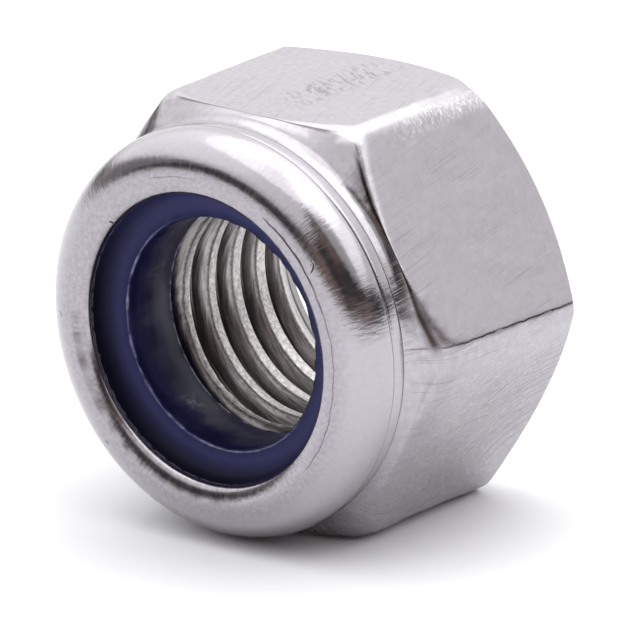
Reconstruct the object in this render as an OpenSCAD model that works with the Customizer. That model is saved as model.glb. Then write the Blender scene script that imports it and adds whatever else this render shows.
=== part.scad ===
// Nylon insert lock nut, M12 with a 1.75 mm pitch, high form: a forged and tapped hexagon body
// whose thin collar is rolled over a nylon ring. The ring is smaller in the bore than the bolt
// is over its thread, so the bolt has to press its own thread into it, and that grips the bolt.
// Every size is in millimetres. The pieces are drawn standing on the bearing face, with the
// thread axis upright, and are then laid down on one flat of the hexagon, collar to the front.

/* [Hexagon] */
// Width across the flats, which is the size of the spanner
across_flats = 19; // [18.7:0.1:19.8]
// Height of the whole nut, from the bearing face to the front of the rolled collar
nut_height = 14; // [13.8:0.1:14.6]
// Radius worn and forged on the six long edges
edge_radius = 0.6; // [0.3:0.05:0.9]
// Height at which the front chamfer crosses the middle of each flat
shoulder_height = 10.5; // [9.8:0.1:10.8]
// Rise of the front chamfer towards the collar, in degrees
front_chamfer_angle = 35; // [25:1:40]
// Diameter of the flat ring of the bearing face, inside the rear chamfer
bearing_face_d = 18.3; // [17.6:0.1:18.6]
// Rise of the rear chamfer, in degrees
rear_chamfer_angle = 37; // [25:1:45]

/* [Thread] */
// Bore over the crests of the thread
thread_minor_d = 10.4; // [10.11:0.01:10.44]
// Countersink where the bolt enters, across the bearing face
countersink_d = 13; // [12.4:0.1:13]
// Angle of that countersink, and of the small one under the ring, across the cone
countersink_angle = 60; // [60:5:90]
// Depth of the small countersink under the ring
lead_in = 0.4; // [0.3:0.05:0.5]

/* [Collar] */
// Widest diameter of the collar, at the roll
collar_d = 18.6; // [18.4:0.1:18.8]
// Radius of the roll on the front of the collar
roll_radius = 1.9; // [1.7:0.05:2]
// Thickness of the collar wall round the ring
collar_wall = 1.2; // [1.1:0.05:1.4]
// Radius of the hollow fillet between the shoulder of the hexagon and the collar
foot_fillet = 0.75; // [0.6:0.05:0.8]
// Diameter of the bead left round the foot of the collar
bead_d = 18.4; // [18.3:0.1:18.4]
// Diameter at the bottom of the fine groove between the bead and the roll
groove_d = 18.1; // [17.9:0.1:18.2]
// Width of that groove
groove_width = 0.12; // [0.08:0.02:0.16]
// Opening in the rolled lip, through which the nylon shows
lip_opening_d = 13.2; // [13:0.1:13.6]
// Round that the rolling leaves on the inner edge of the lip
lip_round = 0.7; // [0.6:0.05:0.75]

/* [Nylon ring] */
// Bore of the ring
nylon_bore_d = 10.5; // [10.4:0.05:10.9]
// Thickness of the ring along the axis
nylon_thickness = 3.1; // [2.8:0.05:3.3]
// Height of the seat that the ring stands on
seat_height = 9.5; // [9.3:0.05:9.7]
// Small chamfer at each end of the ring's bore
nylon_bore_chamfer = 0.15; // [0.1:0.05:0.3]
// Radius on the ring's outer corners
nylon_corner_radius = 0.5; // [0.3:0.05:0.6]

/* [Hidden] */
$fn = 96;

// How far a cutting shape runs past the face it opens
past = 1;

// Hexagon
flat_distance = across_flats / 2;
corner_distance = flat_distance / cos(30);
// Centre of each edge round, and where the round meets the flats
round_centre = corner_distance - edge_radius / cos(30);
round_turn = 30;

// Chamfers, as heights where their cones reach the corners
chamfer_reach = corner_distance + past;
front_slope = tan(front_chamfer_angle);
rear_slope = tan(rear_chamfer_angle);
shoulder_at_reach = shoulder_height - (chamfer_reach - flat_distance) * front_slope;
rear_at_reach = (chamfer_reach - bearing_face_d / 2) * rear_slope;

// Collar: the foot fillet touches the shoulder cone below and ends upright under the bead.
// The roll starts a short straight stretch below the centre of its arc.
bead_round = 0.2;
bead_overhang = 0.05;
roll_straight = 0.05;
collar_r = collar_d / 2;
groove_r = groove_d / 2;
bead_r = bead_d / 2;
foot_r = bead_r - bead_overhang;
fillet_r = foot_r + foot_fillet;
fillet_h = shoulder_height + (flat_distance - fillet_r) * front_slope
    + foot_fillet / cos(front_chamfer_angle);
fillet_start_r = fillet_r - foot_fillet * sin(front_chamfer_angle);
fillet_start_h = fillet_h - foot_fillet * cos(front_chamfer_angle);
roll_centre_r = collar_r - roll_radius;
roll_centre_h = nut_height - roll_radius;
groove_top = roll_centre_h - roll_straight;
bead_top = groove_top - groove_width;
lip_r = lip_opening_d / 2;
lip_round_r = lip_r + lip_round;
lip_round_h = nut_height - lip_round;

// Ring and its seat
nylon_top = seat_height + nylon_thickness;
nylon_r = collar_r - collar_wall;
nylon_bore_r = nylon_bore_d / 2;

// Thread
minor_r = thread_minor_d / 2;
countersink_r = countersink_d / 2;
countersink_slope = tan(countersink_angle / 2);
countersink_depth = (countersink_r - minor_r) / countersink_slope;
lead_in_r = minor_r + lead_in * countersink_slope;
lead_in_h = seat_height - lead_in;

// Lays a piece drawn on the upright axis down on a flat, with the collar facing -Y.
// The point under the middle of the nut's length becomes the origin.
module lie_on_flat() {
    translate([0, nut_height / 2, flat_distance])
        rotate([90, 0, 0])
            children();
}

// Regular hexagon with a round on each corner
module rounded_hexagon() {
    polygon([
        for (corner = [0 : 5], side = [-1, 1])
            let (
                middle = corner * 60,
                face = middle + side * round_turn,
                foot = round_centre * [cos(middle), sin(middle)]
            )
            foot + edge_radius * [cos(face), sin(face)]
    ]);
    for (corner = [0 : 5])
        rotate(corner * 60)
            translate([round_centre, 0])
                circle(r = edge_radius);
}

// Half outline of the blank as the two chamfers and the foot fillet leave it
module blank_outline() {
    difference() {
        polygon([
            [0, 0],
            [bearing_face_d / 2, 0],
            [chamfer_reach, rear_at_reach],
            [chamfer_reach, shoulder_at_reach],
            [fillet_start_r, fillet_start_h],
            [foot_r, fillet_h],
            [0, fillet_h]
        ]);
        translate([fillet_r, fillet_h])
            circle(r = foot_fillet);
    }
}

// Half outline of a disc of radius r between two heights, its rim rounded
module round_rimmed(r, low, high, rim) {
    translate([0, low])
        square([r - rim, high - low]);
    translate([0, low + rim])
        square([r, high - low - 2 * rim]);
    for (h = [low + rim, high - rim])
        translate([r - rim, h])
            circle(r = rim);
}

// Half outline of the collar: the bead round its foot, the fine groove and the rolled front
module collar_outline() {
    translate([0, seat_height])
        square([groove_r, roll_centre_h - seat_height]);
    round_rimmed(bead_r, fillet_h, bead_top, bead_round);
    intersection() {
        union() {
            square([roll_centre_r, nut_height]);
            translate([roll_centre_r, roll_centre_h])
                circle(r = roll_radius);
        }
        translate([0, groove_top])
            square([collar_r + past, roll_radius + past]);
    }
}

// Half outline of the hollow that the ring fills, up to the rolled lip
module ring_outline() {
    translate([0, seat_height])
        square([nylon_r, nylon_thickness - nylon_corner_radius]);
    translate([0, seat_height])
        square([nylon_r - nylon_corner_radius, nylon_thickness]);
    translate([nylon_r - nylon_corner_radius, nylon_top - nylon_corner_radius])
        circle(r = nylon_corner_radius);
}

// Half outline of the opening in the lip, with the round on its edge
module lip_opening_outline() {
    translate([0, nylon_top - past])
        square([lip_r, nut_height]);
    difference() {
        translate([0, lip_round_h])
            square([lip_round_r, lip_round + past]);
        translate([lip_round_r, lip_round_h])
            circle(r = lip_round);
    }
}

// Half outline of the threaded bore over the crests, with its two lead-ins
module thread_bore_outline() {
    translate([0, -past])
        square([minor_r, seat_height + 2 * past]);
    polygon([
        [0, -past],
        [countersink_r + past * countersink_slope, -past],
        [minor_r, countersink_depth],
        [0, countersink_depth]
    ]);
    polygon([
        [0, lead_in_h],
        [minor_r, lead_in_h],
        [lead_in_r, seat_height],
        [lead_in_r, seat_height + past],
        [0, seat_height + past]
    ]);
}

// Steel body: hexagon, collar and rolled lip are one piece of metal
module nut_body() {
    color("silver")
        lie_on_flat()
            difference() {
                union() {
                    intersection() {
                        linear_extrude(height = fillet_h)
                            rounded_hexagon();
                        rotate_extrude()
                            blank_outline();
                    }
                    rotate_extrude()
                        collar_outline();
                }
                rotate_extrude() {
                    ring_outline();
                    lip_opening_outline();
                }
                rotate_extrude()
                    thread_bore_outline();
            }
}

// Nylon ring, a loose washer before the collar is rolled over it
module nylon_insert() {
    color("midnightblue")
        lie_on_flat()
            rotate_extrude()
                difference() {
                    ring_outline();
                    translate([0, seat_height - past])
                        square([nylon_bore_r, nylon_thickness + 2 * past]);
                    polygon([
                        [0, nylon_top - nylon_bore_chamfer],
                        [nylon_bore_r, nylon_top - nylon_bore_chamfer],
                        [nylon_bore_r + nylon_bore_chamfer + past, nylon_top + past],
                        [0, nylon_top + past]
                    ]);
                    polygon([
                        [0, seat_height + nylon_bore_chamfer],
                        [nylon_bore_r, seat_height + nylon_bore_chamfer],
                        [nylon_bore_r + nylon_bore_chamfer + past, seat_height - past],
                        [0, seat_height - past]
                    ]);
                }
}

nut_body();
nylon_insert();
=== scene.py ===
import math

import bmesh
import bpy
from mathutils import Matrix, Vector


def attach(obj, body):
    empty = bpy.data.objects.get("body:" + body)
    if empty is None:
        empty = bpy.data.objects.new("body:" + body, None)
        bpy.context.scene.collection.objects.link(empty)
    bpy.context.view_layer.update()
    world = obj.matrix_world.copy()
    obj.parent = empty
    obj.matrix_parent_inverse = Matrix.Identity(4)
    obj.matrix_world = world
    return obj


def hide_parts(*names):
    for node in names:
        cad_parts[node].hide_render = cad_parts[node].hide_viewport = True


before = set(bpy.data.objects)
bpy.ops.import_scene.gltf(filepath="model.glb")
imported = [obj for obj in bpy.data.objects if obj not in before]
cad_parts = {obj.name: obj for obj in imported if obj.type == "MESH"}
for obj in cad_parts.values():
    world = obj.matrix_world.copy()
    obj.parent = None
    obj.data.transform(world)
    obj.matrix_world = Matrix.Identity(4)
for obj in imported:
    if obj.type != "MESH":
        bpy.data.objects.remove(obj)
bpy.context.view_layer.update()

# Steel body: hexagon, collar and lip are one piece of stainless steel, cold forged, turned and
# tapped, and rolled over the nylon at the front. Sizes are in millimetres on the nut's own axis:
# a radius from the axis, and a height from the bearing face to the front of the lip.
MM = 0.001
NUT_HEIGHT = 14.0
FLAT_DISTANCE = 9.5
EDGE_RADIUS = 0.6
SHOULDER_HEIGHT = 10.5
FRONT_ANGLE = math.radians(35)
BEARING_FACE_R = 9.15
REAR_ANGLE = math.radians(37)

# Long edges, by number round the axis, are rubbed down to a narrow uneven facet; each has its
# depth at the front and at the rear.
RUBBED_EDGES = {0: (0.22, 0.02), 1: (0.05, 0.34), 2: (0.12, 0.05), 5: (0.3, 0.15)}
RUBBED_SOFTNESS = 0.14
RUBBED_RIPPLE = 0.14
SIDE_ROWS = 14
SIDE_FROM = 0.05
SIDE_TO = 0.88

# The front chamfer was cut a little out of true, and its edge is worn more at the corners. It is
# darkened on that edge at the right, and thinly over the chamfer at the upper left, each between
# two bearings in degrees.
SHOULDER_DROP = 0.1
SHOULDER_TILT = 0.42
TILT_TOWARDS = math.radians(-35)
WORN_FLAT = 0.35
WORN_CORNER = 1.0
WORN_REAR = 0.35
WORN_BEARING = 0.3
SUPPORT = 1.25
WORN_ALL_ROUND = 0.12
WORN_TOWARDS = math.radians(-35)
EDGE_STEPS = 8
DARKENED_EDGE = (1, 54)
DARKENED_EDGE_FADE = 3
DARKENED_CHAMFER = (96, 150)
DARKENING_FADE = 12
CHAMFER_DARKENING = 0.2

FOOT_FILLET = 0.75
FOOT_R = 9.15
BEAD_R = 9.2
BEAD_ROUND = 0.2
BEAD_TOP = 11.93
GROOVE_R = 9.05
ROLL_START = 12.05
COLLAR_R = 9.3
ROLL_RADIUS = 1.9
ROLL_END = 84
LIP_R = 6.6
LIP_BENDS = ((0, 11, 0.6, 3), (11, 25, 1.9, 8), (25, 90, 0.39, 8))
FOLD_R = 7.49
FOLD_DEPTH = 0.06
FOLD_WIDTH = 0.03
FOLDS = ((-42, 60, 1.0), (86, 113, 0.2))
FOLD_FADE = 6
FOLD_WAVE = 0.022

NYLON_R = 8.1
NYLON_TOP = 12.6
NYLON_CORNER = 0.5
SEAT_HEIGHT = 9.5

PITCH = 1.75
THREAD_MINOR_R = 5.2
THREAD_MAJOR_R = 6.0
MOUTH_CREST_R = 5.34
CREST_SHARE = 1 / 8
MOUTH_CREST_SHARE = 0.2
CREST_HEIGHT = 0.726
TEAR_DEPTH = 0.035
FIRST_TEAR_DEPTH = 0.22
TEARS_PER_MM = 3.0
COUNTERSINK_R = 6.5
CONE_SLOPE = math.tan(math.radians(30))
LEAD_IN = 0.4

COLUMNS = 288
ROWS_PER_PITCH = 20
CORNER_CROWDING = 0.85
WELD = 0.0005 * MM


def place(radius, angle, height):
    """A point of the nut's own axis in the frame of the part, where it lies on a flat."""
    return Vector((
        radius * math.cos(angle),
        NUT_HEIGHT / 2 - height,
        radius * math.sin(angle) + FLAT_DISTANCE,
    )) * MM


def column_angle(column):
    """Columns stand closer together at the six corners, where the rounded edges are narrow."""
    even = 2 * math.pi * column / COLUMNS
    return even - CORNER_CROWDING * math.sin(6 * even) / 6


def hexagon_reach(angle, rubbed=0.0):
    """Distance from the axis to the hexagon's side at that angle, with its corner rounded or rubbed."""
    turn = abs((angle + math.pi / 6) % (math.pi / 3) - math.pi / 6)
    centre = (FLAT_DISTANCE - EDGE_RADIUS) / math.cos(math.pi / 6)
    edge = EDGE_RADIUS ** 2 - (centre * math.sin(turn)) ** 2
    tangent = math.atan2(EDGE_RADIUS / 2, centre + EDGE_RADIUS * math.cos(math.pi / 6))
    side = FLAT_DISTANCE / math.cos(math.pi / 6 - turn)
    if turn < tangent:
        side = centre * math.cos(turn) + math.sqrt(edge)
    facet = (centre + EDGE_RADIUS - rubbed) / math.cos(turn)
    blend = max(RUBBED_SOFTNESS - abs(facet - side), 0) if rubbed else 0
    return min(side, facet) - blend ** 2 / (4 * RUBBED_SOFTNESS)


def arc(centre, radius, start, end, steps):
    """Points of an arc in the plane of radius and height, by degrees from the radius axis."""
    turns = [math.radians(start + (end - start) * i / steps) for i in range(steps + 1)]
    return [(centre[0] + radius * math.cos(t), centre[1] + radius * math.sin(t)) for t in turns]


def softened(before, corner, after, radius, steps=6):
    """An arc in place of a corner, with one point on each side that keeps the faces beside it flat."""
    corner = Vector(corner)
    back = Vector(before) - corner
    ahead = Vector(after) - corner
    half = back.angle(ahead) / 2
    reach = min(radius / math.tan(half), 0.7 * back.length, 0.7 * ahead.length)
    start = corner + back.normalized() * reach
    end = corner + ahead.normalized() * reach
    middle = corner + (back.normalized() + ahead.normalized()).normalized() * reach / math.cos(half)
    swing = (start - middle).angle_signed(end - middle)
    return [
        tuple(corner + back.normalized() * reach * SUPPORT),
        *(
            tuple(middle + Matrix.Rotation(-swing * i / steps, 2) @ (start - middle))
            for i in range(steps + 1)
        ),
        tuple(corner + ahead.normalized() * reach * SUPPORT),
    ]


def seat_edge(angle):
    """Where the thread, or else the cone of its lead-in, runs out into the seat of the ring."""
    phase = (SEAT_HEIGHT - CREST_HEIGHT) / PITCH - angle / (2 * math.pi)
    flank = min(max(4 * (abs(phase - round(phase)) - CREST_SHARE), 0), 1)
    thread = THREAD_MINOR_R + (THREAD_MAJOR_R - THREAD_MINOR_R) * flank
    return max(thread, THREAD_MINOR_R + LEAD_IN * CONE_SLOPE)


def rubbed_depth(angle, along):
    """Depth of the facet on the nearest long edge, a share of the way from the rear to the front."""
    corner = round(angle * 3 / math.pi) % 6
    front, rear = RUBBED_EDGES.get(corner, (0, 0))
    ripple = math.sin(7 * along + corner) + 0.6 * math.sin(19 * along + 3 * corner)
    return (rear + (front - rear) * along) * (1 + RUBBED_RIPPLE * ripple)


def worn_down(outline, share, passes=40):
    """An outline with its corners worn round by a share of the way; its two ends stay."""
    smooth = [Vector(point) for point in outline]
    for _ in range(passes):
        smooth = [
            smooth[0],
            *((a + 2 * b + c) / 4 for a, b, c in zip(smooth, smooth[1:], smooth[2:])),
            smooth[-1],
        ]
    return [tuple(Vector(a).lerp(b, share)) for a, b in zip(outline, smooth)]


def between(angle, start, end, fade):
    """One between two bearings given in degrees, falling to nothing over the fade inside them."""
    degrees = (math.degrees(angle) - start) % 360
    return min(max(min(degrees, end - start - degrees) / fade, 0), 1)


def fold_share(angle):
    """How deep the fold in the lip is at that angle, as a share of its full depth."""
    return max(share * between(angle, start, end, FOLD_FADE) for start, end, share in FOLDS)


def fold(angle):
    """The wavy line where the metal folded as the lip was rolled, as three points of a groove."""
    depth = FOLD_DEPTH * fold_share(angle)
    wave = math.sin(11 * angle) + math.sin(37 * angle + 1) + 0.6 * math.sin(83 * angle)
    middle = FOLD_R + FOLD_WAVE * wave
    points = []
    for step in (1, 0, -1):
        r = middle + step * FOLD_WIDTH
        rise = math.sqrt(ROLL_RADIUS ** 2 - (r - COLLAR_R + ROLL_RADIUS) ** 2)
        level = NUT_HEIGHT - ROLL_RADIUS + rise
        points.append((r, level if step else level - depth))
    return points


def lip():
    """The inside of the lip: three arcs that follow on from each other down to its opening."""
    sines = [(math.sin(math.radians(end)) - math.sin(math.radians(start))) * radius
             for start, end, radius, steps in LIP_BENDS]
    last = (LIP_R + sum(sines), NUT_HEIGHT)
    points = []
    for start, end, radius, steps in LIP_BENDS:
        tilt = math.radians(start)
        centre = (last[0] + radius * math.sin(tilt), last[1] - radius * math.cos(tilt))
        points += arc(centre, radius, 90 + start, 90 + end, steps)[1 if points else 0:]
        last = points[-1]
    return points


def worn_share(angle):
    """How far the front edge is worn round at that angle; it is worn most towards the lower right."""
    return WORN_ALL_ROUND + (1 - WORN_ALL_ROUND) * max(math.cos(angle - WORN_TOWARDS), 0) ** 2


def body_outline(angle):
    """One section of the body from the bearing face to the seat: side, front edge, collar, fold, lip."""
    side = hexagon_reach(angle, rubbed_depth(angle, 1))
    rear_side = hexagon_reach(angle, rubbed_depth(angle, 0))
    towards_corner = (side - FLAT_DISTANCE) / (hexagon_reach(0) - FLAT_DISTANCE)
    worn = WORN_FLAT + (WORN_CORNER - WORN_FLAT) * towards_corner
    lift = SHOULDER_TILT * math.cos(angle - TILT_TOWARDS) - SHOULDER_DROP
    shoulder = SHOULDER_HEIGHT - (side - FLAT_DISTANCE) * math.tan(FRONT_ANGLE) + lift
    bearing_edge = (BEARING_FACE_R, 0)
    rear = (rear_side, (rear_side - BEARING_FACE_R) * math.tan(REAR_ANGLE))
    front = (side, shoulder)
    shares = [SIDE_FROM + (SIDE_TO - SIDE_FROM) * row / SIDE_ROWS for row in range(SIDE_ROWS + 1)]
    face = [
        (hexagon_reach(angle, rubbed_depth(angle, along)), rear[1] + (front[1] - rear[1]) * along)
        for along in shares
    ]
    fillet_r = FOOT_R + FOOT_FILLET
    fillet_h = SHOULDER_HEIGHT + (FLAT_DISTANCE - fillet_r) * math.tan(FRONT_ANGLE) \
        + FOOT_FILLET / math.cos(FRONT_ANGLE)
    fillet = arc((fillet_r, fillet_h), FOOT_FILLET, 270 - math.degrees(FRONT_ANGLE), 180, 8)
    front_corner = softened(rear, front, fillet[0], worn, EDGE_STEPS)
    bead_low = (BEAD_R - BEAD_ROUND, fillet_h + BEAD_ROUND)
    bead_high = (BEAD_R - BEAD_ROUND, BEAD_TOP - BEAD_ROUND)
    hexagon = [
        (COUNTERSINK_R, 0),
        *softened((COUNTERSINK_R, 0), bearing_edge, rear, WORN_BEARING),
        *softened(bearing_edge, rear, front, WORN_REAR),
        *face[:-1],
    ]
    shoulder_edge = worn_down([face[-1], *front_corner, *fillet], worn_share(angle))
    collar = [
        *arc(bead_low, BEAD_ROUND, -45, 0, 4),
        *arc(bead_high, BEAD_ROUND, 0, 45, 4),
        (GROOVE_R, BEAD_TOP),
        (GROOVE_R, ROLL_START),
        (COLLAR_R, ROLL_START),
        *arc((COLLAR_R - ROLL_RADIUS, NUT_HEIGHT - ROLL_RADIUS), ROLL_RADIUS, 0, ROLL_END, 24),
    ]
    inside = [
        *lip(),
        (LIP_R, NYLON_TOP),
        *arc((NYLON_R - NYLON_CORNER, NYLON_TOP - NYLON_CORNER), NYLON_CORNER, 90, 0, 5),
        (NYLON_R, SEAT_HEIGHT),
        (seat_edge(angle), SEAT_HEIGHT),
    ]
    return hexagon, shoulder_edge, collar, fold(angle), inside


def add_node(tree, kind, links=(), output=0, **settings):
    """Adds a node with its settings, and its inputs as values or links; gives one output back."""
    made = tree.nodes.new(kind)
    for name, value in settings.items():
        setattr(made, name, value)
    for socket, value in dict(links).items():
        if isinstance(value, bpy.types.NodeSocket):
            tree.links.new(value, made.inputs[socket])
        else:
            made.inputs[socket].default_value = value
    return made.outputs[output] if made.outputs else None


# A ramp that falls from one to nothing
FALLING = {"To Min": 1.0, "To Max": 0.0}


def thread_tree():
    """A threaded wall: a grid wound up on its axis, with its rows along the helix."""
    tree = bpy.data.node_groups.new("threaded wall", "GeometryNodeTree")
    tree.interface.new_socket("Geometry", in_out="INPUT", socket_type="NodeSocketGeometry")
    inputs = {
        "Float": (
            "Pitch", "Crest radius", "Root radius", "Crest height", "Seat height", "Grid height",
            "Countersink radius", "Cone depth", "Lead-in radius", "Lead-in height", "Crowding",
            "Mouth crest radius", "Crest share", "Mouth crest share", "Tear depth",
            "First tear depth", "Tears",
        ),
        "Int": ("Columns", "Rows"),
        "Vector": ("Bearing face", "Scale"),
        "Material": ("Material",),
    }
    for kind, names in inputs.items():
        for name in names:
            tree.interface.new_socket(name, in_out="INPUT", socket_type="NodeSocket" + kind)
    tree.interface.new_socket("Geometry", in_out="OUTPUT", socket_type="NodeSocketGeometry")
    given = tree.nodes.new("NodeGroupInput").outputs

    grid = add_node(tree, "GeometryNodeMeshGrid", {
        "Size X": 2 * math.pi,
        "Size Y": given["Grid height"],
        "Vertices X": given["Columns"],
        "Vertices Y": given["Rows"],
    })
    position = add_node(tree, "GeometryNodeInputPosition")
    flat = add_node(tree, "ShaderNodeSeparateXYZ", {0: position}, output="X")
    even = add_node(tree, "ShaderNodeMath", {0: flat, 1: math.pi}, operation="ADD")
    sixfold = add_node(tree, "ShaderNodeMath", {0: even, 1: 6}, operation="MULTIPLY")
    wave = add_node(tree, "ShaderNodeMath", {0: sixfold}, operation="SINE")
    shift = add_node(tree, "ShaderNodeMath", {0: wave, 1: given["Crowding"]}, operation="MULTIPLY")
    angle = add_node(tree, "ShaderNodeMath", {0: even, 1: shift}, operation="SUBTRACT")
    turn = add_node(tree, "ShaderNodeMath", {0: angle, 1: 2 * math.pi}, operation="DIVIDE")

    half = add_node(tree, "ShaderNodeMath", {0: given["Grid height"], 1: 2}, operation="DIVIDE")
    foot = add_node(tree, "ShaderNodeMath", {0: half, 1: given["Pitch"]}, operation="SUBTRACT")
    along = add_node(tree, "ShaderNodeSeparateXYZ", {0: position}, output="Y")
    level = add_node(tree, "ShaderNodeMath", {0: along, 1: foot}, operation="ADD")
    free = add_node(
        tree, "ShaderNodeMath", {0: turn, 1: given["Pitch"], 2: level}, operation="MULTIPLY_ADD"
    )
    height = add_node(tree, "ShaderNodeClamp", {"Value": free, "Min": 0.0, "Max": given["Seat height"]})

    over = add_node(tree, "ShaderNodeMath", {0: height, 1: given["Crest height"]}, operation="SUBTRACT")
    turns = add_node(tree, "ShaderNodeMath", {0: over, 1: given["Pitch"]}, operation="DIVIDE")
    phase = add_node(tree, "ShaderNodeMath", {0: turns, 1: turn}, operation="SUBTRACT")
    off_crest = add_node(tree, "ShaderNodeMath", {0: phase, 1: 0.5}, operation="PINGPONG")

    # Sizes that change along the bore, each between two heights: the width of the crests, the
    # countersink, the lead-in at the seat, and the bore over the crests
    runs = {
        "crest share": (None, "Seat height", "Mouth crest share", "Crest share"),
        "mouth": (None, "Cone depth", "Countersink radius", "Crest radius"),
        "lead-in": ("Lead-in height", "Seat height", "Crest radius", "Lead-in radius"),
        "bore": (None, "Seat height", "Mouth crest radius", "Crest radius"),
    }
    along_bore = {}
    for name, (rear, front, at_rear, at_front) in runs.items():
        along_bore[name] = add_node(tree, "ShaderNodeMapRange", {
            "Value": height,
            "From Min": given[rear] if rear else 0.0,
            "From Max": given[front],
            "To Min": given[at_rear],
            "To Max": given[at_front],
        })
    thread = add_node(tree, "ShaderNodeMapRange", {
        "Value": off_crest,
        "From Min": along_bore["crest share"],
        "From Max": 3 / 8,
        "To Min": given["Crest radius"],
        "To Max": given["Root radius"],
    })
    clean = thread
    for name in ("mouth", "lead-in", "bore"):
        clean = add_node(
            tree, "ShaderNodeMath", {0: clean, 1: along_bore[name]}, operation="MAXIMUM"
        )

    # The crests are torn by a noise, most of all in the last turn before the seat
    clean_point = add_node(tree, "ShaderNodeCombineXYZ", {"X": clean, "Y": height})
    clean_wound = add_node(
        tree, "ShaderNodeVectorRotate", {"Vector": clean_point, "Angle": angle},
        rotation_type="Y_AXIS", invert=True
    )
    tears = add_node(
        tree, "ShaderNodeTexNoise", {"Vector": clean_wound, "Scale": given["Tears"], "Detail": 3.0}
    )
    torn = add_node(tree, "ShaderNodeMath", {0: tears, 1: 0.5}, operation="SUBTRACT")
    first = add_node(tree, "ShaderNodeMath", {0: given["Lead-in height"], 1: 1.0}, operation="SUBTRACT")
    tear_depth = add_node(tree, "ShaderNodeMapRange", {
        "Value": height,
        "From Min": first,
        "From Max": given["Lead-in height"],
        "To Min": given["Tear depth"],
        "To Max": given["First tear depth"],
    })
    rear_end = add_node(tree, "ShaderNodeMapRange", {
        "Value": height, "From Min": 0.0, "From Max": given["Cone depth"],
    })
    front_end = add_node(tree, "ShaderNodeMapRange", {
        "Value": height,
        "From Min": given["Lead-in height"],
        "From Max": given["Seat height"],
        **FALLING,
    })
    inside = add_node(tree, "ShaderNodeMath", {0: rear_end, 1: front_end}, operation="MULTIPLY")
    deep = add_node(tree, "ShaderNodeMath", {0: tear_depth, 1: inside}, operation="MULTIPLY")
    radius = add_node(
        tree, "ShaderNodeMath", {0: torn, 1: deep, 2: clean}, operation="MULTIPLY_ADD"
    )

    unrolled = add_node(tree, "ShaderNodeCombineXYZ", {"X": radius, "Y": height})
    wound = add_node(
        tree, "ShaderNodeVectorRotate", {"Vector": unrolled, "Angle": angle},
        rotation_type="Y_AXIS", invert=True
    )
    point = add_node(
        tree, "ShaderNodeVectorMath", {0: wound, 1: given["Scale"], 2: given["Bearing face"]},
        operation="MULTIPLY_ADD"
    )
    wall = add_node(tree, "GeometryNodeSetPosition", {"Geometry": grid, "Position": point})
    real = add_node(tree, "GeometryNodeRealizeInstances", {"Geometry": wall})
    coated = add_node(
        tree, "GeometryNodeSetMaterial", {"Geometry": real, "Material": given["Material"]}
    )
    tree.links.new(coated, tree.nodes.new("NodeGroupOutput").inputs["Geometry"])
    return tree


def linear(colour):
    """An sRGB hex colour as the linear colour that a shader takes."""
    parts = [int(colour[i:i + 2], 16) / 255 for i in (1, 3, 5)]
    return [p / 12.92 if p <= 0.04045 else ((p + 0.055) / 1.055) ** 2.4 for p in parts] + [1]


def new_look(name, settings):
    """A material, its nodes and its shader, with those settings of the shader that are even."""
    made = bpy.data.materials.new(name)
    made.use_nodes = True
    shader = made.node_tree.nodes["Principled BSDF"]
    for socket, value in settings.items():
        shader.inputs[socket].default_value = value
    return made, made.node_tree, shader


def in_millimetres(tree):
    """The point of the piece in millimetres, so that a noise's scale is one over its size."""
    metres = add_node(tree, "ShaderNodeTexCoord", output="Object")
    return add_node(tree, "ShaderNodeVectorMath", {0: metres, "Scale": 1 / MM}, operation="SCALE")


def painted(tree, colour, coats):
    """A colour with others laid over it in turn, each as far as its own share says."""
    for share, coat in coats:
        colour = add_node(
            tree, "ShaderNodeMix", {"Factor": share, "A": colour, "B": linear(coat)},
            output="Result", data_type="RGBA"
        )
    return colour


def layered(tree, level, layers):
    """A level with others added to it in turn, each by its own weight."""
    for layer, weight in layers:
        level = add_node(
            tree, "ShaderNodeMath", {0: layer, 1: weight, 2: level}, operation="MULTIPLY_ADD"
        )
    return level


def dress(tree, shader, colour, roughness, relief, depth, **over):
    """Links a look to its shader, with the relief as a bump of that depth in millimetres."""
    normal = add_node(
        tree, "ShaderNodeBump", {"Height": relief, "Strength": 1.0, "Distance": depth * MM, **over}
    )
    for socket, value in (("Base Color", colour), ("Roughness", roughness), ("Normal", normal)):
        tree.links.new(value, shader.inputs[socket])


AXIS_POINT = (0, 0, FLAT_DISTANCE)
FLATS_APART = 20.37


def round_the_axis(tree, point):
    """The way out from the axis, the distance from it, and the depth along it."""
    from_axis = add_node(tree, "ShaderNodeVectorMath", {0: point, 1: AXIS_POINT}, operation="SUBTRACT")
    across = add_node(
        tree, "ShaderNodeVectorMath", {0: from_axis, 1: (1, 0, 1)}, operation="MULTIPLY"
    )
    outward = add_node(tree, "ShaderNodeVectorMath", {0: across}, operation="NORMALIZE")
    radius = add_node(tree, "ShaderNodeVectorMath", {0: across}, output="Value", operation="LENGTH")
    depth = add_node(tree, "ShaderNodeSeparateXYZ", {0: point}, output="Y")
    return outward, radius, depth


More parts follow.
